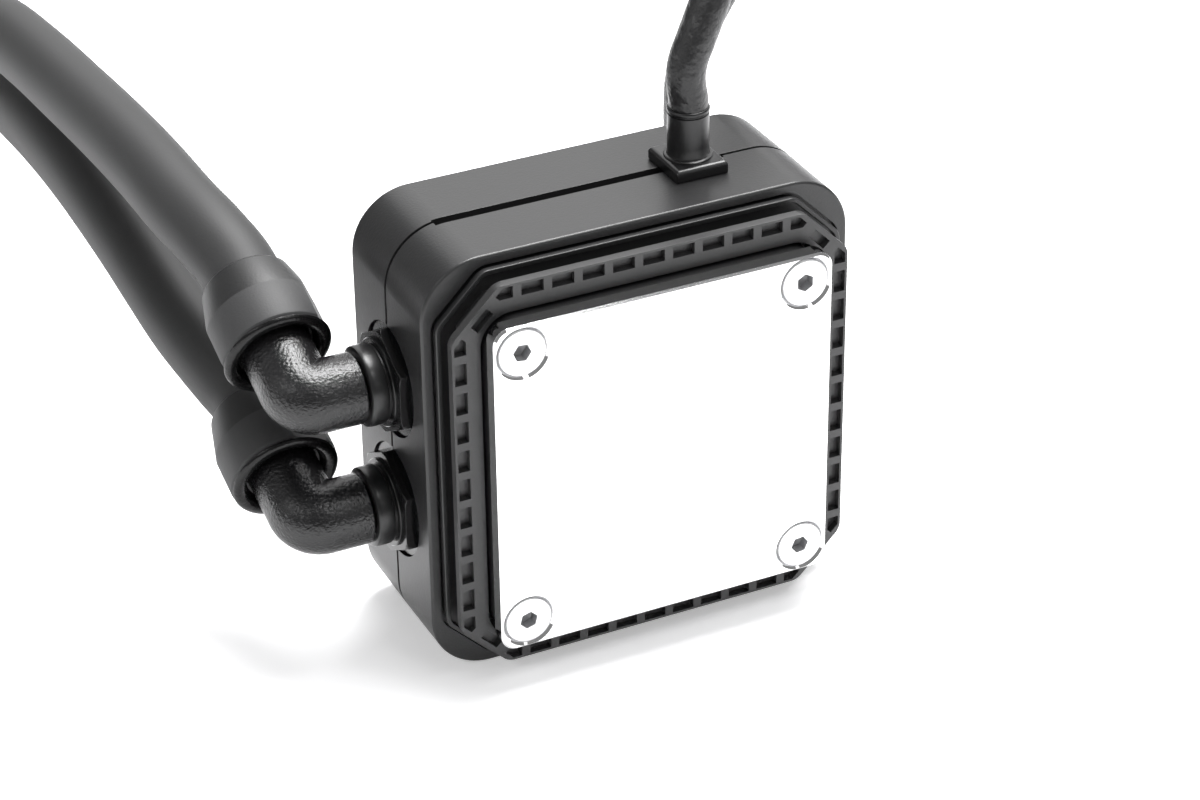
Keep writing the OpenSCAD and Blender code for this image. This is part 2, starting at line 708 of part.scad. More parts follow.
module swivel_collar(z)
    color("#1b1b1d") difference() {
        union() {
            port_rod(z, swivel_x, hex_x, collar_d / 2 - 0.4);
            port_rod(z, swivel_x + 0.5, hex_x - 0.9, collar_d / 2);
        }
        port_rod(z, swivel_x - 1, hex_x + 1, spigot_d / 2 + 0.02);
    }

module swivel_seal(z)
    color("#0e0e10") translate([swivel_x - 2.6 + seal_d / 2 + 0.2, port_y, z]) rotate([0, 90, 0]) rotate_extrude()
        translate([(spigot_d - seal_d) / 2, 0]) circle(d = seal_d, $fn = 24);

// Along the elbow's second leg: local Z runs out along the leg from the bend's corner
module on_leg(z, rise)
    translate([bend_x, port_y, z]) rotate([rise, 0, 0]) rotate([-90, 0, 0]) children();

// The elbow's path as a tube of radius r: first leg, quarter bend and second leg
module elbow_tube(r, back, out) {
    translate([elbow_bend, 0, 0]) rotate([0, 90, 0]) cylinder(h = back - elbow_bend, r = r);
    translate([0, 0, elbow_bend]) cylinder(h = out - elbow_bend, r = r);
    // Quarter bend between the legs, about a centre beside both
    translate([elbow_bend, 0, elbow_bend]) rotate([90, 0, 0]) rotate([0, 0, 180])
        rotate_extrude(angle = 90) intersection() {
            translate([elbow_bend, 0]) circle(r);
            translate([0, -r]) square(2 * r + elbow_bend);
        }
}

module elbow(z, rise)
    color("#141416") on_leg(z, rise) difference() {
        union() {
            elbow_tube(elbow_d / 2, elbow_reach - swivel_gap, hose_start);
            // Flange at the sleeve's mouth and the barb inside the hose
            translate([0, 0, sleeve_start + 0.3]) cylinder(h = hose_start - sleeve_start - 0.3, d = sleeve_d - 3);
            translate([0, 0, sleeve_start]) cylinder(h = barb_end - sleeve_start, d = barb_d);
        }
        elbow_tube(water_d / 2, elbow_reach + 1, barb_end + 1);
        translate([elbow_reach - spigot_len - 0.4, 0, 0]) rotate([0, 90, 0])
            cylinder(h = spigot_len + 2, r = spigot_d / 2 + spigot_gap);
    }

// Sleeve over the end of a hose, open at its mouth and tapering behind
module sleeve_body(turn) {
    r = sleeve_d / 2;
    hose_r = hose_d / 2;
    rotate(-turn) intersection() {
        rotate_extrude() polygon([[r - 1.3, 0], [r - 0.4, 0], [r, 0.5], [r, sleeve_band],
            [hose_r + 0.9, sleeve_len - 0.5], [hose_r + 0.5, sleeve_len], [hose_r + sleeve_gap, sleeve_len],
            [hose_r + sleeve_gap, 1.8], [r - 1.3, 1.8]]);
        translate([-sleeve_flats / 2, -sleeve_d, -1]) cube([sleeve_flats, 2 * sleeve_d, sleeve_len + 2]);
    }
}

module hose_sleeve(z, rise, turn)
    color("#4a4a4c") on_leg(z, rise) translate([0, 0, sleeve_start]) sleeve_body(turn);

module hose(route, rise)
    color("#57575a") difference() {
        cord(route, hose_d, 12, [1, 0, 0]);
        // Room for the barbs at both ends
        translate(route[0]) rotate([rise - 90, 0, 0]) translate([0, 0, -1])
            cylinder(h = barb_end - hose_start + 1.5, d = barb_d + 0.1);
        translate(route[len(route) - 1]) rotate([90, 0, 0]) translate([0, 0, -1])
            cylinder(h = barb_end - hose_start + 1.5, d = barb_d + 0.1);
    }

// Sleeve and threaded fitting at a hose's far end; local Z runs back up the hose
module at_tail(route)
    translate(route[len(route) - 1]) rotate([90, 0, 0]) children();

// The far sleeve rests on one of its flats
module tail_sleeve(route)
    color("#4a4a4c") at_tail(route) translate([0, 0, sleeve_start - hose_start]) sleeve_body(90);

module tail_fitting(route)
    color("#161618") at_tail(route) difference() {
        union() {
            translate([0, 0, -tail_collar]) cylinder(h = tail_collar, d = hose_d);
            translate([0, 0, -tail_nut_end]) cylinder(h = tail_nut_end - tail_collar, d = hose_d / cos(30) - 1.8, $fn = 6);
            translate([0, 0, -tail_end]) cylinder(h = tail_end - tail_nut_end + 0.2, d = tail_thread_d);
            translate([0, 0, -1]) cylinder(h = tail_barb + 1, d = barb_d);
        }
        translate([0, 0, -tail_end - 1]) cylinder(h = tail_end + tail_barb + 2, d = water_d);
    }

upper_z = port_pitch / 2;
lower_z = -port_pitch / 2;

rear_shell();
front_shell();
retention_ring();
pump_base();
cold_plate();
plate_screws();
plate_gasket();
jet_plate();
pump_chamber();
isolation_can();
stator_core();
stator_coils();
circuit_board();
pump_screws();
shell_screws();
pump_shaft();
thrust_washers();
impeller();
rotor_magnet();
rotor_bushes();
cable_gland();
pump_cable();
cable_plug();
plug_terminals();
port_fitting(upper_z);  // upper_port_fitting
port_fitting(lower_z);  // lower_port_fitting
swivel_collar(upper_z);  // upper_swivel_collar
swivel_collar(lower_z);  // lower_swivel_collar
swivel_seal(upper_z);  // upper_swivel_seal
swivel_seal(lower_z);  // lower_swivel_seal
elbow(upper_z, rise_upper);  // upper_elbow
elbow(lower_z, rise_lower);  // lower_elbow
hose_sleeve(upper_z, rise_upper, flats_turn_upper);  // upper_hose_sleeve
hose_sleeve(lower_z, rise_lower, flats_turn_lower);  // lower_hose_sleeve
hose(upper_route, rise_upper);  // upper_hose
hose(lower_route, rise_lower);  // lower_hose
tail_sleeve(upper_route);  // upper_tail_sleeve
tail_sleeve(lower_route);  // lower_tail_sleeve
tail_fitting(upper_route);  // upper_tail_fitting
tail_fitting(lower_route);  // lower_tail_fitting
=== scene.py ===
# Pump block of a liquid cooler, with its swivel elbows, hoses and lead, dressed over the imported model
import math
import bmesh
import bpy
import json
from mathutils import Matrix, Vector


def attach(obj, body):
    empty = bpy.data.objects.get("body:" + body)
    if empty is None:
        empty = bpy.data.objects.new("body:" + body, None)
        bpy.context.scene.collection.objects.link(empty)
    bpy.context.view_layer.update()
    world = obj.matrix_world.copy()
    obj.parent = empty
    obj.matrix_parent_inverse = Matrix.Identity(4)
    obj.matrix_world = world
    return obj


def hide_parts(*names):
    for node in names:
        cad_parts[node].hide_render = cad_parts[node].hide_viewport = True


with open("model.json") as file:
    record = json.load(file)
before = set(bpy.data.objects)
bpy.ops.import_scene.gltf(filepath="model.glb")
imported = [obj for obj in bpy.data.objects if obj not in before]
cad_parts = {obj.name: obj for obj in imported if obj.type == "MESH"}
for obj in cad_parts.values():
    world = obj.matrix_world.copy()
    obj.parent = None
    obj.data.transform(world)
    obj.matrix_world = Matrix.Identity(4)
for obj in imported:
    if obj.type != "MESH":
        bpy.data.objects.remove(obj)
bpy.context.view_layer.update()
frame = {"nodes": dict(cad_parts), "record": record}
nodes = frame["nodes"]
mm = 0.001

# ---------- camera ----------
cameraView = {"place": (-0.19988, -0.39652, 0.27209), "turn": (59.3769, 0.6057, -25.8388), "lens": 105.22}
bpy.ops.object.camera_add(location=cameraView["place"], rotation=[math.radians(a) for a in cameraView["turn"]])
camera = bpy.context.object
camera.name = "photoCamera"
camera.data.lens = cameraView["lens"]
camera.data.sensor_width = 36
camera.data.clip_start = 0.01
bpy.context.scene.camera = camera


# ---------- small helpers ----------
def clearSelection():
    bpy.ops.object.select_all(action="DESELECT")


def workOn(piece):
    clearSelection()
    piece.select_set(True)
    bpy.context.view_layer.objects.active = piece


def startEdit(piece):
    workOn(piece)
    bpy.ops.object.mode_set(mode="EDIT")
    bpy.ops.mesh.select_all(action="DESELECT")
    return bmesh.from_edit_mesh(piece.data)


def endEdit():
    bpy.ops.object.mode_set(mode="OBJECT")


def pickFaces(piece, wanted):
    bpy.ops.mesh.select_mode(type="FACE")
    mesh = bmesh.from_edit_mesh(piece.data)
    for face in mesh.faces:
        face.select_set(bool(wanted(face.calc_center_median(), face.normal)))
    mesh.select_flush_mode()
    bmesh.update_edit_mesh(piece.data)


def pickEdges(piece, wanted):
    bpy.ops.mesh.select_mode(type="EDGE")
    mesh = bmesh.from_edit_mesh(piece.data)
    for edge in mesh.edges:
        edge.select_set(bool(wanted(edge.verts[0].co, edge.verts[1].co)))
    mesh.select_flush_mode()
    bmesh.update_edit_mesh(piece.data)


def applyPlace(piece):
    workOn(piece)
    bpy.ops.object.transform_apply(location=True, rotation=True, scale=True)


def applyModifier(piece, kind, **settings):
    workOn(piece)
    modifier = piece.modifiers.new(kind.title(), kind)
    for key, value in settings.items():
        setattr(modifier, key, value)
    bpy.ops.object.modifier_apply(modifier=modifier.name)


def tidyNormals(piece):
    startEdit(piece)
    bpy.ops.mesh.select_all(action="SELECT")
    bpy.ops.mesh.remove_doubles(threshold=1e-6)
    bpy.ops.mesh.normals_make_consistent(inside=False)
    endEdit()


def smoothPiece(piece, angle=35):
    workOn(piece)
    bpy.ops.object.shade_smooth_by_angle(angle=math.radians(angle))


# Softens every sharp edge by a small round, as a mould or a tumbling drum leaves it
def breakEdges(piece, width, steps=2, angle=35):
    applyModifier(piece, "BEVEL", width=width * mm, segments=steps, limit_method="ANGLE",
                  angle_limit=math.radians(angle), harden_normals=False, miter_outer="MITER_ARC")
    smoothPiece(piece, angle)
    applyModifier(piece, "WEIGHTED_NORMAL", keep_sharp=True, weight=90)


def joinPieces(pieces):
    clearSelection()
    for piece in pieces:
        piece.select_set(True)
    bpy.context.view_layer.objects.active = pieces[0]
    bpy.ops.object.join()
    return pieces[0]


def cutAway(piece, cutter, how="DIFFERENCE"):
    applyModifier(piece, "BOOLEAN", operation=how, object=cutter, solver="EXACT")
    bpy.data.objects.remove(cutter)


# A box between two corners, in millimetres
def boxBetween(low, high):
    clearSelection()
    centre = [(a + b) / 2 * mm for a, b in zip(low, high)]
    bpy.ops.mesh.primitive_cube_add(size=1, location=centre)
    piece = bpy.context.object
    piece.scale = [(b - a) * mm for a, b in zip(low, high)]
    applyPlace(piece)
    return piece


# A turned form: a circle drawn at the first [radius, height], then pulled and resized along the others
def turnedForm(profile, sides=96, closedRing=False):
    clearSelection()
    radius, height = profile[0]
    bpy.ops.mesh.primitive_circle_add(vertices=sides, radius=radius * mm, location=(0, 0, 0),
                                      fill_type="NOTHING" if closedRing else "NGON")
    piece = bpy.context.object
    startEdit(piece)
    bpy.ops.mesh.select_all(action="SELECT")
    bpy.ops.transform.translate(value=(0, 0, height * mm))
    points = profile[1:] + ([profile[0]] if closedRing else [])
    for newRadius, newHeight in points:
        bpy.ops.mesh.extrude_region_move(TRANSFORM_OT_translate={"value": (0, 0, (newHeight - height) * mm)})
        if newRadius != radius:
            share = newRadius / radius
            bpy.ops.transform.resize(value=(share, share, 1), center_override=(0, 0, newHeight * mm))
        radius, height = newRadius, newHeight
    endEdit()
    tidyNormals(piece)
    return piece


# Lays a piece that was made along Z on a line that starts at a place and runs along a way
def layAlong(piece, place, way, roll=0):
    turn = Vector(way).to_track_quat("Z", "Y").to_matrix().to_4x4()
    piece.matrix_world = Matrix.Translation(Vector(place) * mm) @ turn @ Matrix.Rotation(math.radians(roll), 4, "Z")
    applyPlace(piece)


def dress(piece, name, material, slot, body, *replaced):
    piece.name = name
    piece.data.name = name
    piece.data.materials.clear()
    piece.data.materials.append(material)
    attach(piece, body)
    if replaced:
        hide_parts(*replaced)
    print("made", name)


# ---------- node groups shared by the materials ----------
def newGroup(name, inputs, outputs):
    group = bpy.data.node_groups.new(name, "ShaderNodeTree")
    for label, kind, value in inputs:
        socket = group.interface.new_socket(name=label, in_out="INPUT", socket_type=kind)
        if value is not None:
            socket.default_value = value
    for label, kind in outputs:
        group.interface.new_socket(name=label, in_out="OUTPUT", socket_type=kind)
    return group, group.nodes.new("NodeGroupInput"), group.nodes.new("NodeGroupOutput")


# Two sizes of noise: a fine moulded texture and slow clouds of colour
def makeMouldGrain():
    group, entry, out = newGroup("mouldGrain",
        [("Vector", "NodeSocketVector", None), ("Base", "NodeSocketColor", (0.05, 0.05, 0.05, 1)),
         ("Grain Scale", "NodeSocketFloat", 2500), ("Speckle", "NodeSocketFloat", 0.15),
         ("Cloud Scale", "NodeSocketFloat", 40), ("Cloud", "NodeSocketFloat", 0.1),
         ("Roughness", "NodeSocketFloat", 0.5), ("Rough Spread", "NodeSocketFloat", 0.08)],
        [("Color", "NodeSocketColor"), ("Roughness", "NodeSocketFloat"), ("Height", "NodeSocketFloat")])
    link = group.links.new
    fine = group.nodes.new("ShaderNodeTexNoise")
    fine.inputs["Detail"].default_value = 3
    link(entry.outputs["Vector"], fine.inputs["Vector"])
    link(entry.outputs["Grain Scale"], fine.inputs["Scale"])
    cloud = group.nodes.new("ShaderNodeTexNoise")
    cloud.inputs["Detail"].default_value = 4
    link(entry.outputs["Vector"], cloud.inputs["Vector"])
    link(entry.outputs["Cloud Scale"], cloud.inputs["Scale"])
    shares = []
    for noise, label in ((fine, "Speckle"), (cloud, "Cloud")):
        centred = group.nodes.new("ShaderNodeMath")
        centred.operation = "SUBTRACT"
        centred.inputs[1].default_value = 0.5
        link(noise.outputs["Fac"], centred.inputs[0])
        part = group.nodes.new("ShaderNodeMath")
        part.operation = "MULTIPLY"
        link(centred.outputs[0], part.inputs[0])
        link(entry.outputs[label], part.inputs[1])
        shares.append(part)
    total = group.nodes.new("ShaderNodeMath")
    link(shares[0].outputs[0], total.inputs[0])
    link(shares[1].outputs[0], total.inputs[1])
    gain = group.nodes.new("ShaderNodeMath")
    gain.inputs[1].default_value = 1
    link(total.outputs[0], gain.inputs[0])
    tint = group.nodes.new("ShaderNodeVectorMath")
    tint.operation = "SCALE"
    link(entry.outputs["Base"], tint.inputs[0])
    link(gain.outputs[0], tint.inputs["Scale"])
    link(tint.outputs[0], out.inputs["Color"])
    spread = group.nodes.new("ShaderNodeMath")
    spread.operation = "MULTIPLY_ADD"
    link(cloud.outputs["Fac"], spread.inputs[0])
    link(entry.outputs["Rough Spread"], spread.inputs[1])
    link(entry.outputs["Roughness"], spread.inputs[2])
    link(spread.outputs[0], out.inputs["Roughness"])
    link(fine.outputs["Fac"], out.inputs["Height"])
    return group


mouldGrain = makeMouldGrain()


# A moulded or coated finish: the grain group feeds colour, roughness and a bump
def mouldedMaterial(name, look):
    material = bpy.data.materials.new(name)
    material.use_nodes = True
    tree = material.node_tree
    shader = tree.nodes["Principled BSDF"]
    where = tree.nodes.new("ShaderNodeTexCoord")
    grain = tree.nodes.new("ShaderNodeGroup")
    grain.node_tree = mouldGrain
    tree.links.new(where.outputs["Object"], grain.inputs["Vector"])
    grain.inputs["Base"].default_value = (*look["color"], 1)
    grain.inputs["Grain Scale"].default_value = look.get("grain", 2500)
    grain.inputs["Speckle"].default_value = look.get("speckle", 0.15)
    grain.inputs["Cloud Scale"].default_value = look.get("cloudScale", 40)
    grain.inputs["Cloud"].default_value = look.get("cloud", 0.1)
    grain.inputs["Roughness"].default_value = look["rough"]
    grain.inputs["Rough Spread"].default_value = look.get("roughSpread", 0.08)
    bump = tree.nodes.new("ShaderNodeBump")
    bump.inputs["Strength"].default_value = look.get("bump", 0.2)
    bump.inputs["Distance"].default_value = look.get("bumpDepth", 0.0001)
    tree.links.new(grain.outputs["Color"], shader.inputs["Base Color"])
    tree.links.new(grain.outputs["Roughness"], shader.inputs["Roughness"])
    tree.links.new(grain.outputs["Height"], bump.inputs["Height"])
    tree.links.new(bump.outputs["Normal"], shader.inputs["Normal"])
    shader.inputs["Metallic"].default_value = look.get("metallic", 0)
    shader.inputs["Specular IOR Level"].default_value = look.get("specular", 0.5)
    shader.inputs["Coat Weight"].default_value = look.get("coat", 0)
    shader.inputs["Coat Roughness"].default_value = look.get("coatRough", 0.1)
    shader.inputs["Sheen Weight"].default_value = look.get("sheen", 0)
    return material


looks = {
    "shellPlastic": {"color": (0.015, 0.015, 0.0155), "rough": 0.34, "grain": 2600, "speckle": 0.35, "bump": 0.25},
    "ringPlastic": {"color": (0.033, 0.033, 0.0335), "rough": 0.36, "grain": 3200, "speckle": 0.25, "bump": 0.15},
    "basePlastic": {"color": (0.02, 0.02, 0.0205), "rough": 0.36, "grain": 3000, "bump": 0.15},
    "fittingGloss": {"color": (0.008, 0.008, 0.0085), "rough": 0.14, "grain": 1500, "speckle": 0.1, "bump": 0.35,
                     "bumpDepth": 0.0002, "roughSpread": 0.1},
    "elbowGloss": {"color": (0.009, 0.009, 0.0095), "rough": 0.2, "grain": 1900, "speckle": 0.1, "bump": 0.9,
                   "bumpDepth": 0.00018, "roughSpread": 0.12},
    "beadGloss": {"color": (0.005, 0.005, 0.0052), "rough": 0.22, "grain": 1500, "bump": 0.4, "bumpDepth": 0.00015,
                  "specular": 0.3},
    "portGloss": {"color": (0.007, 0.007, 0.0075), "rough": 0.15, "grain": 1500, "bump": 0.08, "specular": 0.3},
    "collarGloss": {"color": (0.009, 0.009, 0.0095), "rough": 0.27, "grain": 2400, "bump": 0.06},
    # The cone's finish below is the sleeve rubber darkened as painted shade, for the cone faces away from the light
    "sleeveTail": {"color": (0.014, 0.014, 0.0145), "rough": 0.42, "grain": 2600, "bump": 0.2},
    "sleeveRubber": {"color": (0.033, 0.033, 0.034), "rough": 0.55, "grain": 3000, "bump": 0.2},
    "hoseRubber": {"color": (0.024, 0.024, 0.0245), "rough": 0.55, "grain": 2600, "bump": 0.15, "cloudScale": 25},
    "glandRubber": {"color": (0.008, 0.008, 0.0085), "rough": 0.26, "grain": 2500, "bump": 0.12},
    "leadJacket": {"color": (0.013, 0.013, 0.0135), "rough": 0.33, "grain": 480, "bump": 0.6, "bumpDepth": 0.0008},
    "plugPlastic": {"color": (0.014, 0.014, 0.0145), "rough": 0.42, "grain": 2600},
    "sealRubber": {"color": (0.01, 0.01, 0.0105), "rough": 0.6, "grain": 2500},
    "plateNickel": {"color": (0.97, 0.97, 0.972), "rough": 0.05, "metallic": 1, "grain": 1500, "speckle": 0.01,
                    "cloud": 0.02, "roughSpread": 0.03, "bump": 0.01, "bumpDepth": 0.00002},
    "screwSteel": {"color": (0.82, 0.82, 0.83), "rough": 0.14, "metallic": 1, "grain": 2000, "speckle": 0.04,
                   "bump": 0.05, "bumpDepth": 0.00005},
    # The screw steel made duller and darker: painted shade in the hex sockets and a grey ring painted on the head rims
    # for their darker reflection
    "socketSteel": {"color": (0.42, 0.42, 0.43), "rough": 0.4, "metallic": 0.25, "grain": 2000},
    "stampedSteel": {"color": (0.6, 0.6, 0.61), "rough": 0.3, "metallic": 1, "grain": 1200, "bump": 0.1},
    "canSteel": {"color": (0.66, 0.66, 0.68), "rough": 0.25, "metallic": 1, "grain": 900, "bump": 0.1},
    "coreSteel": {"color": (0.4, 0.4, 0.42), "rough": 0.4, "metallic": 1, "grain": 2200, "bump": 0.3},
    "coilCopper": {"color": (0.6, 0.27, 0.11), "rough": 0.3, "metallic": 1, "grain": 2600, "bump": 0.5},
    "terminalBrass": {"color": (0.75, 0.58, 0.28), "rough": 0.25, "metallic": 1, "grain": 1800},
    "chamberPlastic": {"color": (0.06, 0.06, 0.065), "rough": 0.45, "grain": 2000},
    "boardGreen": {"color": (0.02, 0.13, 0.05), "rough": 0.35, "grain": 1200, "cloud": 0.3, "coat": 0.3},
    "shaftCeramic": {"color": (0.8, 0.79, 0.75), "rough": 0.15, "grain": 3000},
    "washerPlastic": {"color": (0.65, 0.6, 0.5), "rough": 0.5, "grain": 2400},
    "impellerPlastic": {"color": (0.6, 0.57, 0.5), "rough": 0.45, "grain": 2400},
    "magnetFerrite": {"color": (0.06, 0.06, 0.065), "rough": 0.5, "grain": 2800, "speckle": 0.4},
}
materials = {name: mouldedMaterial(name, look) for name, look in looks.items()}


# The record's slot names in the form used here
def finishOf(slotName):
    words = slotName.split("_")
    return words[0] + "".join(w.title() for w in words[1:])


slotOfNode = {s["node"]: s["material_slot"] for s in frame["record"]["subparts"]}
for nodeName, node in nodes.items():
    node.data.materials.clear()
    node.data.materials.append(materials[finishOf(slotOfNode[nodeName])])
print("materials ready")

# ---------- hoses and lead ----------
hoseLook = {
    "diameter": 12.0,
    "upper": [(-49, 32.46, 14.94), (-49, 38, 17.29), (-49, 45.93, 20.66), (-50.2, 53, 22.9), (-51.4, 62, 24.1),
              (-52, 76, 24.8), (-52.4, 92, 24.4), (-52.8, 112, 23), (-53.2, 132, 21.3), (-53.8, 150, 19),
              (-54.6, 170, 14.2), (-55.6, 190, 6.4), (-56.6, 208, -3.2), (-57.4, 225, -13.8), (-57.9, 240, -22.6),
              (-58.1, 250, -26.6), (-58.2, 260, -28.7), (-58.2, 271, -28.3), (-58.2, 284, -26.9), (-58.2, 300, -26.9)],
    "lower": [(-49, 32.67, -6.62), (-49, 38.44, -4.51), (-49, 45.96, -1.78), (-50.1, 51, -0.1), (-51.1, 57, 1.4),
              (-51.8, 65, 2.6), (-52, 75, 4), (-52, 87, 5.4), (-51.9, 101, 6.3), (-51.6, 116, 6.3), (-51.2, 132, 5.2),
              (-50.6, 147, 3), (-49.8, 163, 0), (-48.6, 179, -4.6), (-47, 194, -10.6), (-45.2, 208, -17),
              (-43.6, 221, -22.6), (-42.2, 234, -26.8), (-41.2, 247, -28.7), (-40.4, 260, -28.7), (-40, 274, -28.5),
              (-40, 290, -26.9), (-40, 306, -26.9)],
}
leadLook = {
    "diameter": 6.0,
    "route": [(14.3, 21.3, 44.96), (14.3, 21.3, 46), (14, 21.3, 48), (13.9, 21.3, 50), (14.4, 21.4, 52.4), (15.6, 21.6, 55),
              (17.1, 22, 58), (19, 22.8, 61.4), (21.2, 24.6, 65), (24.4, 28.8, 69), (28.6, 35.4, 71.8),
              (33.6, 43.4, 72.6), (38.8, 51.6, 70.4), (43.6, 59.2, 65), (47.6, 65.6, 57.4), (49.8, 70.2, 49.6),
              (50, 72.8, 42.4), (48.4, 74, 37.6), (46.2, 74.6, 33.4), (44.1, 74.9, 29.5), (42.3, 75, 25.5),
              (41, 75.3, 21), (40.9, 75.8, 16), (41.2, 76.4, 10), (41.6, 77.8, 0), (42, 80.2, -11), (43.2, 84.6, -21.5),
              (44.6, 90.4, -28.6), (46.4, 97.4, -31.6), (47.6, 105, -31.8), (46, 112.6, -31.8), (40.6, 118.4, -31.8),
              (33, 120.4, -31.8), (25.4, 117.6, -31.8), (19.6, 111.4, -31.8), (15, 103, -31.8), (10.4, 94, -31.8)],
}


def drawCord(name, route, diameter):
    curve = bpy.data.curves.new(name, "CURVE")
    curve.dimensions = "3D"
    spline = curve.splines.new("BEZIER")
    spline.bezier_points.add(len(route) - 1)
    for point, place in zip(spline.bezier_points, route):
        point.co = Vector(place) * mm
        point.handle_left_type = "AUTO"
        point.handle_right_type = "AUTO"
    spline.resolution_u = 8
    curve.bevel_depth = diameter / 2 * mm
    curve.bevel_resolution = 10
    curve.use_fill_caps = True
    curve.twist_mode = "MINIMUM"
    piece = bpy.data.objects.new(name, curve)
    bpy.context.scene.collection.objects.link(piece)
    bpy.context.view_layer.update()
    return piece


for side in ("upper", "lower"):
    hose = drawCord(side + "Hose", hoseLook[side], hoseLook["diameter"])
    dress(hose, side + "Hose", materials["hoseRubber"], "hose_rubber", side + "_arm", side + "_hose")
lead = drawCord("pumpLead", leadLook["route"], leadLook["diameter"])
dress(lead, "pumpLead", materials["leadJacket"], "lead_jacket", "block", "pump_cable")

# ---------- shells ----------
shellLook = {"half": 34.9, "corner": 9.5, "front": 9.1, "parting": 21.9, "seam": 0.58, "back": 35.9, "draft": 0.1,
             "frontRound": 0.45, "backRound": 1.1, "innerHalf": 32.7, "innerCorner": 7.3, "backInner": 33.7,
             "floorFront": 10.4, "floorBack": 12.4, "gapHalf": 33.4, "gapCut": 7.7, "gapRound": 3.1,
             "portY": 22, "portZ": 10.5, "recess": 9.02, "recessDeep": 1.2, "shank": 5.8,
             "glandX": 14.3, "glandY": 21.3, "stem": 3.15, "pad": 4.3, "slotLeft": 37, "slotRight": 1.8,
             "slotWide": 1.8, "slotThin": 0.9, "slotDeep": 1.7}


# A square block in X and Z with its four long edges rounded or cut
def cornerBlock(half, y0, y1, corner, steps):
    piece = boxBetween((-half, y0, -half), (half, y1, half))
    startEdit(piece)
    pickEdges(piece, lambda a, b: abs(a.x - b.x) < 1e-6 and abs(a.z - b.z) < 1e-6)
    bpy.ops.mesh.bevel(offset=corner * mm, segments=steps, offset_type="OFFSET", affect="EDGES")
    endEdit()
    return piece


# An eight-sided block with its eight angles rounded
def softOctagon(half, cut, y0, y1, radius):
    piece = cornerBlock(half, y0, y1, cut, 1)
    if radius:
        startEdit(piece)
        pickEdges(piece, lambda a, b: abs(a.x - b.x) < 1e-6 and abs(a.z - b.z) < 1e-6)
        bpy.ops.mesh.bevel(offset=radius * math.tan(math.radians(22.5)) * mm, segments=6, affect="EDGES")
        endEdit()
    return piece


def rodAlongY(x, z, y0, y1, radius, sides=64):
    clearSelection()
    bpy.ops.mesh.primitive_cylinder_add(vertices=sides, radius=radius * mm, depth=(y1 - y0) * mm,
                                        location=(x * mm, (y0 + y1) / 2 * mm, z * mm),
                                        rotation=(math.radians(90), 0, 0))
    applyPlace(bpy.context.object)
    return bpy.context.object


def rodAlongX(x0, x1, y, z, radius, sides=96):
    clearSelection()
    bpy.ops.mesh.primitive_cylinder_add(vertices=sides, radius=radius * mm, depth=(x1 - x0) * mm,
                                        location=((x0 + x1) / 2 * mm, y * mm, z * mm),
                                        rotation=(0, math.radians(90), 0))
    applyPlace(bpy.context.object)
    return bpy.context.object


# The openings that both shells share: port recesses, gland hole and the slot along the seam
def cutShellOpenings(shell):
    s = shellLook
    for z in (-s["portZ"], s["portZ"]):
        cutAway(shell, rodAlongX(-s["half"] - 1, -s["half"] + s["recessDeep"], s["portY"], z, s["recess"]))
        cutAway(shell, rodAlongX(-s["half"] - 1, -s["innerHalf"] + 1, s["portY"], z, s["shank"]))
    stem = s["stem"]
    cutAway(shell, boxBetween((s["glandX"] - stem, s["glandY"] - stem, s["innerHalf"] - 1),
                              (s["glandX"] + stem, s["glandY"] + stem, s["half"] + 1)))
    low = s["half"] - s["slotDeep"]
    cutAway(shell, boxBetween((s["glandX"] - s["pad"] - s["slotLeft"], s["parting"] - s["slotWide"] / 2, low),
                              (s["glandX"] - s["pad"] + 1, s["parting"] + s["slotWide"] / 2, s["half"] + 1)))
    cutAway(shell, boxBetween((s["glandX"] + s["pad"] - 1, s["parting"] - s["slotThin"] / 2, low),
                              (s["glandX"] + s["pad"] + s["slotRight"], s["parting"] + s["slotThin"] / 2, s["half"] + 1)))


def makeFrontShell():
    s = shellLook
    shell = cornerBlock(s["half"], s["front"], s["parting"], s["corner"], 20)
    startEdit(shell)
    front = s["front"] * mm + 1e-5
    pickEdges(shell, lambda a, b: a.y < front and b.y < front)
    bpy.ops.mesh.bevel(offset=s["frontRound"] * mm, segments=4, affect="EDGES")
    endEdit()
    tongue = cornerBlock(s["innerHalf"] + 0.6, s["parting"] - 2, s["parting"] + s["seam"] - 0.02, s["innerCorner"] + 0.6, 20)
    cutAway(shell, tongue, "UNION")
    cutAway(shell, cornerBlock(s["innerHalf"], s["floorBack"], s["parting"] + 2, s["innerCorner"], 20))
    cutAway(shell, softOctagon(s["gapHalf"], s["gapCut"], s["front"] - 1, s["floorFront"], s["gapRound"]))
    cutAway(shell, rodAlongY(0, 0, s["front"], s["floorBack"] + 1, 24.65, 128))
    cutShellOpenings(shell)
    breakEdges(shell, 0.09)
    dress(shell, "frontShell", materials["shellPlastic"], "shell_plastic", "block", "front_shell")


def makeRearShell():
    s = shellLook
    shell = cornerBlock(s["half"], s["parting"] + s["seam"], s["back"], s["corner"], 20)
    startEdit(shell)
    back = s["back"] * mm - 1e-5
    pickFaces(shell, lambda c, n: n.y > 0.9)
    share = (s["half"] - s["draft"]) / s["half"]
    bpy.ops.transform.resize(value=(share, 1, share), center_override=(0, s["back"] * mm, 0))
    pickEdges(shell, lambda a, b: a.y > back and b.y > back)
    bpy.ops.mesh.bevel(offset=s["backRound"] * mm, segments=8, affect="EDGES")
    endEdit()
    cutAway(shell, cornerBlock(s["innerHalf"], s["parting"] - 1, s["backInner"], s["innerCorner"], 20))
    cutShellOpenings(shell)
    breakEdges(shell, 0.09)
    dress(shell, "rearShell", materials["shellPlastic"], "shell_plastic", "block", "rear_shell")


makeFrontShell()
makeRearShell()

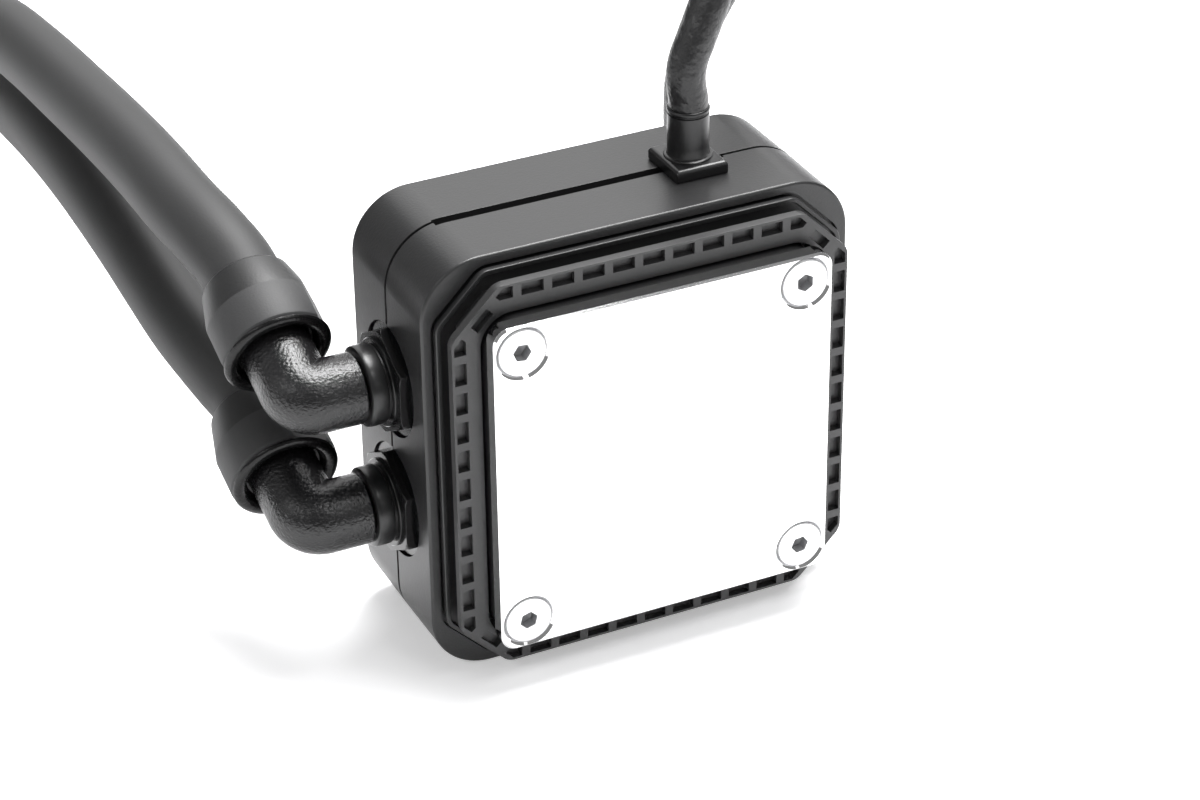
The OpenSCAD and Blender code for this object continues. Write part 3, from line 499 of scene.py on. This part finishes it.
# ---------- retention ring ----------
ringLook = {"half": 32.3, "cut": 7.5, "face": 4.1, "flange": 1.5, "platform": 8.8, "neckHalf": 29.55, "neckCut": 4.5,
            "openHalf": 27.8, "openCorner": 5, "rim": 0.4, "round": 2.4, "cornerRim": 0.85, "cornerWide": 1.55, "cornerRib": 2.1,
            "pocketWide": 1.85, "pocketLong": 3.5, "pocketDeep": 1.15,
            "pitch": 4.85, "count": 9, "soft": 0.11}


# A pocket cutter on the upper side, between two places along X, turned to its side of the ring
def pocketCutter(x0, x1, turn):
    r = ringLook
    band = r["half"] - r["rim"] - r["pocketWide"]
    cutter = boxBetween((x0, r["face"] - 1, band), (x1, r["face"] + r["pocketDeep"], band + r["pocketWide"]))
    cutter.rotation_euler = (0, math.radians(turn), 0)
    applyPlace(cutter)
    return cutter


def cutSlant(cutter, place, way):
    startEdit(cutter)
    bpy.ops.mesh.select_all(action="SELECT")
    bpy.ops.mesh.bisect(plane_co=place, plane_no=way, use_fill=True, clear_outer=True)
    endEdit()


def makeRing():
    r = ringLook
    ring = softOctagon(r["half"], r["cut"], r["face"], r["face"] + r["flange"], r["round"])
    cutAway(ring, cornerBlock(r["neckHalf"], r["face"] + 0.5, r["platform"], r["neckCut"], 1), "UNION")
    cutAway(ring, cornerBlock(r["openHalf"], r["face"] - 1, r["platform"] + 1, r["openCorner"], 12))
    first = (r["count"] - 1) // 2
    rib = r["pitch"] - r["pocketLong"]
    endAt = first * r["pitch"] + r["pocketLong"] / 2 + rib
    cutters = []
    for turn in (0, 90, 180, 270):
        for k in range(-first, first + 1):
            middle = k * r["pitch"]
            cutters.append(pocketCutter(middle - r["pocketLong"] / 2, middle + r["pocketLong"] / 2, turn))
        for m in (-1, 1):
            # The last pocket ends at the corner's own rib and at its rim
            low, high = sorted((m * endAt, m * (endAt + 6)))
            last = pocketCutter(low, high, 0)
            inner = (r["pocketLong"] / 2 + r["cornerRib"]) * math.sqrt(2)
            cutSlant(last, (m * (30 - inner) * mm, 0, 30 * mm), (m, 0, -1))
            rimSum = 2 * r["half"] - r["cut"] - r["cornerRim"] * math.sqrt(2)
            cutSlant(last, (m * (rimSum - 30) * mm, 0, 30 * mm), (m, 0, 1))
            last.rotation_euler = (0, math.radians(turn), 0)
            applyPlace(last)
            cutters.append(last)
        reach = (2 * r["half"] - r["cut"]) / math.sqrt(2)
        corner = boxBetween((-r["pocketLong"] / 2, r["face"] - 1, reach - r["cornerRim"] - r["cornerWide"]),
                            (r["pocketLong"] / 2, r["face"] + r["pocketDeep"], reach - r["cornerRim"]))
        corner.rotation_euler = (0, math.radians(turn + 45), 0)
        applyPlace(corner)
        cutters.append(corner)
    cutAway(ring, joinPieces(cutters))
    breakEdges(ring, r["soft"])
    dress(ring, "retentionRing", materials["ringPlastic"], "ring_plastic", "block", "retention_ring")


makeRing()

# Raised lip round the edge of the pump's base, which stands proud of the front shell
lipLook = {"half": 33.05, "cut": 7.55, "round": 2.4, "wide": 0.75, "front": 7.9, "back": 8.95}


def makeLip():
    l = lipLook
    lip = softOctagon(l["half"], l["cut"], l["front"], l["back"], l["round"])
    cutAway(lip, softOctagon(l["half"] - l["wide"], l["cut"] - 0.45, l["front"] - 1, l["back"] + 1, l["round"] - 0.5))
    breakEdges(lip, 0.16, 3)
    dress(lip, "baseLip", materials["basePlastic"], "base_plastic", "block")


makeLip()

# ---------- elbows, mouth rings and sleeves ----------
elbowLook = {"corner": (-49, 22), "portZ": {"upper": 10.5, "lower": -10.5}, "rise": {"upper": 23, "lower": 20},
             "radius": 5.5, "bend": 2.6, "reach": 8.6, "out": 11.3, "voxel": 0.14}
sleeveLook = {"start": 9.5, "length": 13.6, "radius": 8.6, "hose": 6.12, "flats": 7.9, "turn": {"upper": 25, "lower": 62},
              "band": 6.9, "soft": 0.12}


def legWay(side):
    rise = math.radians(elbowLook["rise"][side])
    return Vector((0, math.cos(rise), math.sin(rise)))


def cornerOf(side):
    return Vector((*elbowLook["corner"], elbowLook["portZ"][side]))


# Puts a piece made with its first leg along X and its second along Z on an elbow's place
def placeOnElbow(piece, side):
    rise = math.radians(elbowLook["rise"][side])
    piece.matrix_world = (Matrix.Translation(cornerOf(side) * mm) @ Matrix.Rotation(rise, 4, "X")
                          @ Matrix.Rotation(math.radians(-90), 4, "X"))
    applyPlace(piece)


def makeElbow(side):
    e = elbowLook
    legIn = turnedForm([(e["radius"], e["bend"]), (e["radius"], e["reach"])])
    legIn.matrix_world = Matrix.Rotation(math.radians(90), 4, "Y")
    applyPlace(legIn)
    legOut = turnedForm([(e["radius"], e["bend"]), (e["radius"], e["out"] - 0.8)])
    # Quarter bend: half a disc, cut at the axis and spun about it
    clearSelection()
    bpy.ops.mesh.primitive_circle_add(vertices=96, radius=e["radius"] * mm, location=(0, 0, e["bend"] * mm), fill_type="NGON")
    bend = bpy.context.object
    applyPlace(bend)
    startEdit(bend)
    bpy.ops.mesh.select_all(action="SELECT")
    bpy.ops.mesh.bisect(plane_co=((e["bend"] - 0.02) * mm, 0, 0), plane_no=(1, 0, 0), clear_outer=True, use_fill=False)
    bpy.ops.mesh.select_all(action="SELECT")
    bpy.ops.mesh.spin(steps=24, angle=math.radians(90), center=(e["bend"] * mm, 0, e["bend"] * mm), axis=(0, 1, 0))
    endEdit()
    tidyNormals(bend)
    elbow = joinPieces([legIn, legOut, bend])
    applyModifier(elbow, "REMESH", mode="VOXEL", voxel_size=e["voxel"] * mm, use_smooth_shade=True)
    applyModifier(elbow, "SMOOTH", factor=0.5, iterations=5)
    # Glossy bead that closes the sleeve's mouth and sinks towards the leg
    mouth = turnedForm([(5.0, 10.6), (5.9, 10.5), (6.15, 10.1), (6.35, 9.5), (6.6, 9.05), (7.0, 8.78), (7.5, 8.72), (7.95, 8.82),
                        (8.3, 9.05), (8.46, 9.3), (8.48, 9.46), (7.14, 9.46), (7.14, 11.3), (5.0, 11.3)], 96, True)
    smoothPiece(mouth, 50)
    bodyFaces = len(elbow.data.polygons)
    elbow = joinPieces([elbow, mouth])
    placeOnElbow(elbow, side)
    dress(elbow, side + "Elbow", materials["elbowGloss"], "fitting_gloss", side + "_arm", side + "_elbow")
    elbow.data.materials.append(materials["beadGloss"])
    for face in elbow.data.polygons:
        face.material_index = 1 if face.index >= bodyFaces else 0


def sleeveForm(turn):
    s = sleeveLook
    r = s["radius"]
    sleeve = turnedForm([(r - 1.25, 1.8), (r - 1.25, 0.3), (r - 1.05, 0.05), (r - 0.75, 0), (r - 0.35, 0.12), (r - 0.08, 0.5),
                         (r, 0.9), (r, s["band"]), (s["hose"] + 0.95, s["length"] - 0.55), (s["hose"] + 0.6, s["length"] - 0.1),
                         (s["hose"] + 0.3, s["length"]), (s["hose"], s["length"] - 0.1), (s["hose"], 1.8)], 96, True)
    startEdit(sleeve)
    for m in (-1, 1):
        bpy.ops.mesh.select_all(action="SELECT")
        bpy.ops.mesh.bisect(plane_co=(m * s["flats"] * mm, 0, 0), plane_no=(m, 0, 0), use_fill=True, clear_outer=True)
    endEdit()
    return sleeve


# The cone behind the band gets a smoother material whose darker colour is painted shade, as the cone faces away from
# the light
def dressSleeve(sleeve, name, side, node):
    dress(sleeve, name, materials["sleeveRubber"], "sleeve_rubber", side + "_arm", node)
    sleeve.data.materials.append(materials["sleeveTail"])
    way = legWay(side)
    edge = (sleeveLook["start"] + sleeveLook["band"] + 0.25) * mm
    corner = cornerOf(side) * mm
    for face in sleeve.data.polygons:
        if (face.center - corner).dot(way) > edge:
            face.material_index = 1


def makeSleeve(side):
    sleeve = sleeveForm(0)
    applyModifier(sleeve, "BEVEL", width=sleeveLook["soft"] * mm, segments=2, limit_method="ANGLE",
                  angle_limit=math.radians(28))
    smoothPiece(sleeve, 14)
    sleeve.data.transform(Matrix.Rotation(math.radians(-sleeveLook["turn"][side]), 4, "Z"))
    sleeve.data.transform(Matrix.Translation((0, 0, sleeveLook["start"] * mm)))
    placeOnElbow(sleeve, side)
    dressSleeve(sleeve, side + "Sleeve", side, side + "_hose_sleeve")


portLook = {"swivel": -40.1, "hexAt": 3.7, "seatAt": 6.4, "shankAt": 13.8, "hexRadius": 8.75, "chamfer": 0.4, "turn": 30,
            "washer": 8.95, "shank": 5.5, "spigot": 3.8, "spigotAt": -4.4, "bore": 2.7}


# Puts a piece made along Z, from the swivel joint towards the wall, on a port's axis
def placeOnPort(piece, side):
    place = Vector((portLook["swivel"], elbowLook["corner"][1], elbowLook["portZ"][side]))
    piece.matrix_world = Matrix.Translation(place * mm) @ Matrix.Rotation(math.radians(90), 4, "Y")
    applyPlace(piece)


def makePortFitting(side):
    q = portLook
    clearSelection()
    bpy.ops.mesh.primitive_cylinder_add(vertices=6, radius=q["hexRadius"] * mm, depth=(q["seatAt"] - q["hexAt"]) * mm,
                                        location=(0, 0, (q["hexAt"] + q["seatAt"]) / 2 * mm))
    hexagon = bpy.context.object
    hexagon.rotation_euler = (0, 0, math.radians(q["turn"]))
    applyPlace(hexagon)
    low = q["hexAt"]
    cone = turnedForm([(q["hexRadius"] - 0.62, low - 0.01), (q["hexRadius"] + 0.05, low + q["chamfer"]),
                       (q["hexRadius"] + 0.05, q["seatAt"] + 0.1)])
    cutAway(hexagon, cone, "INTERSECT")
    breakEdges(hexagon, 0.1)
    # Washer on the seat of the recess, the flange before the hexagon, the shank and the spigot
    body = turnedForm([(q["bore"], q["spigotAt"]), (q["spigot"] - 0.3, q["spigotAt"]), (q["spigot"], q["spigotAt"] + 0.3),
                       (q["spigot"], low - 0.5), (6.7, low - 0.5), (6.85, low - 0.38), (6.85, low + 0.1), (5.3, low + 0.1),
                       (5.3, q["seatAt"] - 0.75), (q["washer"] - 0.1, q["seatAt"] - 0.75), (q["washer"], q["seatAt"] - 0.6),
                       (q["washer"], q["seatAt"] - 0.02), (q["shank"], q["seatAt"] - 0.02), (q["shank"], q["shankAt"] - 0.5),
                       (q["shank"] - 0.5, q["shankAt"]), (q["bore"], q["shankAt"])], 96, True)
    smoothPiece(body, 35)
    fitting = joinPieces([body, hexagon])
    placeOnPort(fitting, side)
    dress(fitting, side + "PortFitting", materials["portGloss"], "fitting_gloss", "block", side + "_port_fitting")


def makeCollar(side):
    q = portLook
    r = q["spigot"] + 0.02
    collar = turnedForm([(r, 0.05), (5.4, 0.05), (5.85, 0.08), (6.1, 0.2), (6.2, 0.45), (6.22, 0.85), (6.22, 2.5), (6.16, 2.66),
                         (5.95, 2.74), (5.85, 2.85), (5.85, q["hexAt"] - 0.52), (r, q["hexAt"] - 0.52)], 96, True)
    smoothPiece(collar, 40)
    placeOnPort(collar, side)
    dress(collar, side + "SwivelCollar", materials["collarGloss"], "fitting_gloss", "block", side + "_swivel_collar")


for side in ("upper", "lower"):
    makeElbow(side)
    makeSleeve(side)
    makePortFitting(side)
    makeCollar(side)

# ---------- gland ----------
glandLook = {"place": (14.3, 21.3, 34.9), "pad": (8.6, 9.8, 2), "side": 1.65, "inset": 0.45, "round": 0.25}


def makeGland():
    g = glandLook
    wide, deep, high = g["pad"]
    pad = boxBetween((-wide / 2, -deep / 2, 0), (wide / 2, deep / 2, g["side"]))
    startEdit(pad)
    pickFaces(pad, lambda c, n: n.z > 0.9)
    bpy.ops.mesh.extrude_region_move(TRANSFORM_OT_translate={"value": (0, 0, (high - g["side"]) * mm)})
    bpy.ops.transform.resize(value=(1 - 2 * g["inset"] / wide, 1 - 2 * g["inset"] / deep, 1), center_override=(0, 0, high * mm))
    endEdit()
    breakEdges(pad, g["round"], 3, 20)
    neck = turnedForm([(3.75, 1.7), (3.75, 2.1), (3.6, 2.25), (3.3, 2.3), (3.2, 2.6), (3.18, 4), (3.18, 8.9), (3.02, 9.0),
                       (3.02, 9.25), (3.22, 9.35), (3.25, 9.5), (3.25, 9.8), (3.15, 9.95), (3.02, 10.0), (3.02, 7)])
    smoothPiece(neck, 40)
    stem = boxBetween((-3, -3, -4.6), (3, 3, 0.2))
    foot = boxBetween((-4, -4, -4.6), (4, 4, -3.4))
    gland = joinPieces([pad, neck, stem, foot])
    gland.matrix_world = Matrix.Translation(Vector(g["place"]) * mm)
    applyPlace(gland)
    dress(gland, "leadGland", materials["glandRubber"], "gland_rubber", "block", "cable_gland")


makeGland()

# ---------- plate screws ----------
screwLook = {"spacing": 23, "sink": 0.2, "head": 3.84, "key": 2.5, "length": 8}


def makeScrews():
    s = screwLook
    screw = turnedForm([(1.95, s["length"]), (1.95, 2.2), (s["head"] - 0.12, 0.36), (s["head"], 0.24), (s["head"] - 0.04, 0.1),
                        (s["head"] - 0.2, 0)], 96)
    startEdit(screw)
    pickFaces(screw, lambda c, n: abs(n.z) > 0.9 and c.z < 0.05 * mm)
    bpy.ops.mesh.inset(thickness=0.5 * mm)
    endEdit()
    clearSelection()
    bpy.ops.mesh.primitive_cylinder_add(vertices=6, radius=s["key"] / math.sqrt(3) * mm, depth=3.6 * mm, location=(0, 0, 0))
    hexagon = bpy.context.object
    startEdit(hexagon)
    pickFaces(hexagon, lambda c, n: n.z > 0.9)
    bpy.ops.mesh.extrude_region_move(TRANSFORM_OT_translate={"value": (0, 0, 0.6 * mm)})
    bpy.ops.transform.resize(value=(0.1, 0.1, 1), center_override=(0, 0, 2.4 * mm))
    endEdit()
    cutAway(screw, hexagon)
    breakEdges(screw, 0.07)
    screw.data.materials.clear()
    screw.data.materials.append(materials["screwSteel"])
    screw.data.materials.append(materials["socketSteel"])
    # Faces in the hex socket and on the head's rim get the duller, darker steel: painted shade in the socket and a
    # painted darker reflection on the rim
    for face in screw.data.polygons:
        centre = face.center
        reach = math.hypot(centre.x, centre.y)
        inSocket = reach < 1.46 * mm and 0.02 * mm < centre.z < 3 * mm
        onRim = reach > 3.62 * mm and 0.03 * mm < centre.z < 0.5 * mm
        face.material_index = 1 if inSocket or onRim else 0
    copies = []
    for number, (x, z) in enumerate([(-1, -1), (-1, 1), (1, 1), (1, -1)]):
        one = screw.copy()
        one.data = screw.data.copy()
        bpy.context.scene.collection.objects.link(one)
        one.matrix_world = (Matrix.Translation(Vector((x * s["spacing"], s["sink"], z * s["spacing"])) * mm)
                            @ Matrix.Rotation(math.radians(-90), 4, "X") @ Matrix.Rotation(math.radians(14 + 23 * number), 4, "Z"))
        applyPlace(one)
        copies.append(one)
    bpy.data.objects.remove(screw)
    screws = joinPieces(copies)
    screws.name = "plateScrews"
    screws.data.name = "plateScrews"
    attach(screws, "block")
    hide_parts("plate_screws")
    print("made plateScrews")


makeScrews()

# ---------- floor and light ----------
floorLook = {"height": -34.9, "color": (0.86, 0.86, 0.87), "glow": 0.38}


def makeFloor():
    clearSelection()
    bpy.ops.mesh.primitive_plane_add(size=6, location=(0, 0, floorLook["height"] * mm))
    floor = bpy.context.object
    floor.name = "studioFloor"
    material = bpy.data.materials.new("floorPaper")
    material.use_nodes = True
    tree = material.node_tree
    tree.nodes.clear()
    out = tree.nodes.new("ShaderNodeOutputMaterial")
    paper = tree.nodes.new("ShaderNodeBsdfDiffuse")
    paper.inputs["Color"].default_value = (*floorLook["color"], 1)
    glow = tree.nodes.new("ShaderNodeEmission")
    rays = tree.nodes.new("ShaderNodeLightPath")
    seen = rays.outputs["Is Camera Ray"]
    for label in ("Is Glossy Ray", "Is Transmission Ray"):
        both = tree.nodes.new("ShaderNodeMath")
        both.operation = "MAXIMUM"
        tree.links.new(seen, both.inputs[0])
        tree.links.new(rays.outputs[label], both.inputs[1])
        seen = both.outputs[0]
    strength = tree.nodes.new("ShaderNodeMath")
    strength.operation = "MULTIPLY"
    strength.inputs[1].default_value = floorLook["glow"]
    tree.links.new(seen, strength.inputs[0])
    tree.links.new(strength.outputs[0], glow.inputs["Strength"])
    mixed = tree.nodes.new("ShaderNodeAddShader")
    tree.links.new(paper.outputs[0], mixed.inputs[0])
    tree.links.new(glow.outputs[0], mixed.inputs[1])
    tree.links.new(mixed.outputs[0], out.inputs["Surface"])
    floor.data.materials.append(material)


makeFloor()

lampLook = {
    "topBox": {"place": (0.6, 0.85, 0.72), "size": (1.8, 1.0), "power": 9},
    "overBox": {"place": (0.28, 0.2, 1.0), "size": (0.55, 0.62), "power": 24},
    "stripBox": {"place": (0.31, -0.55, 1.0), "size": (0.5, 0.14), "power": 2.6},
    "edgeBox": {"place": (-0.75, -0.35, 0.75), "size": (0.5, 0.12), "power": 1.5},
    "leftBox": {"place": (-0.9, 0.1, 0.45), "size": (0.5, 0.6), "power": 0.8},
    "frontBox": {"place": (0.5, -0.8, 0.6), "size": (0.6, 0.5), "power": 1},
}
for lampName, lamp in lampLook.items():
    bpy.ops.object.light_add(type="AREA", location=lamp["place"])
    light = bpy.context.object
    light.name = lampName
    light.data.shape = "RECTANGLE"
    light.data.size, light.data.size_y = lamp["size"]
    light.data.energy = lamp["power"]
    light.rotation_euler = (Vector((0, 0.02, 0)) - light.location).to_track_quat("-Z", "Y").to_euler()

world = bpy.data.worlds.new("studioRoom")
bpy.context.scene.world = world
world.use_nodes = True
roomTree = world.node_tree
roomTree.nodes.clear()
roomOut = roomTree.nodes.new("ShaderNodeOutputWorld")
roomGlow = roomTree.nodes.new("ShaderNodeBackground")
roomGlow.inputs["Color"].default_value = (1, 1, 1, 1)
roomRays = roomTree.nodes.new("ShaderNodeLightPath")
roomShare = roomTree.nodes.new("ShaderNodeMapRange")
roomShare.inputs["To Min"].default_value = 0.22
roomShare.inputs["To Max"].default_value = 1.0
roomTree.links.new(roomRays.outputs["Is Camera Ray"], roomShare.inputs["Value"])
roomTree.links.new(roomShare.outputs["Result"], roomGlow.inputs["Strength"])
roomTree.links.new(roomGlow.outputs[0], roomOut.inputs["Surface"])
bpy.context.scene.view_settings.view_transform = "Standard"
print("stage ready")
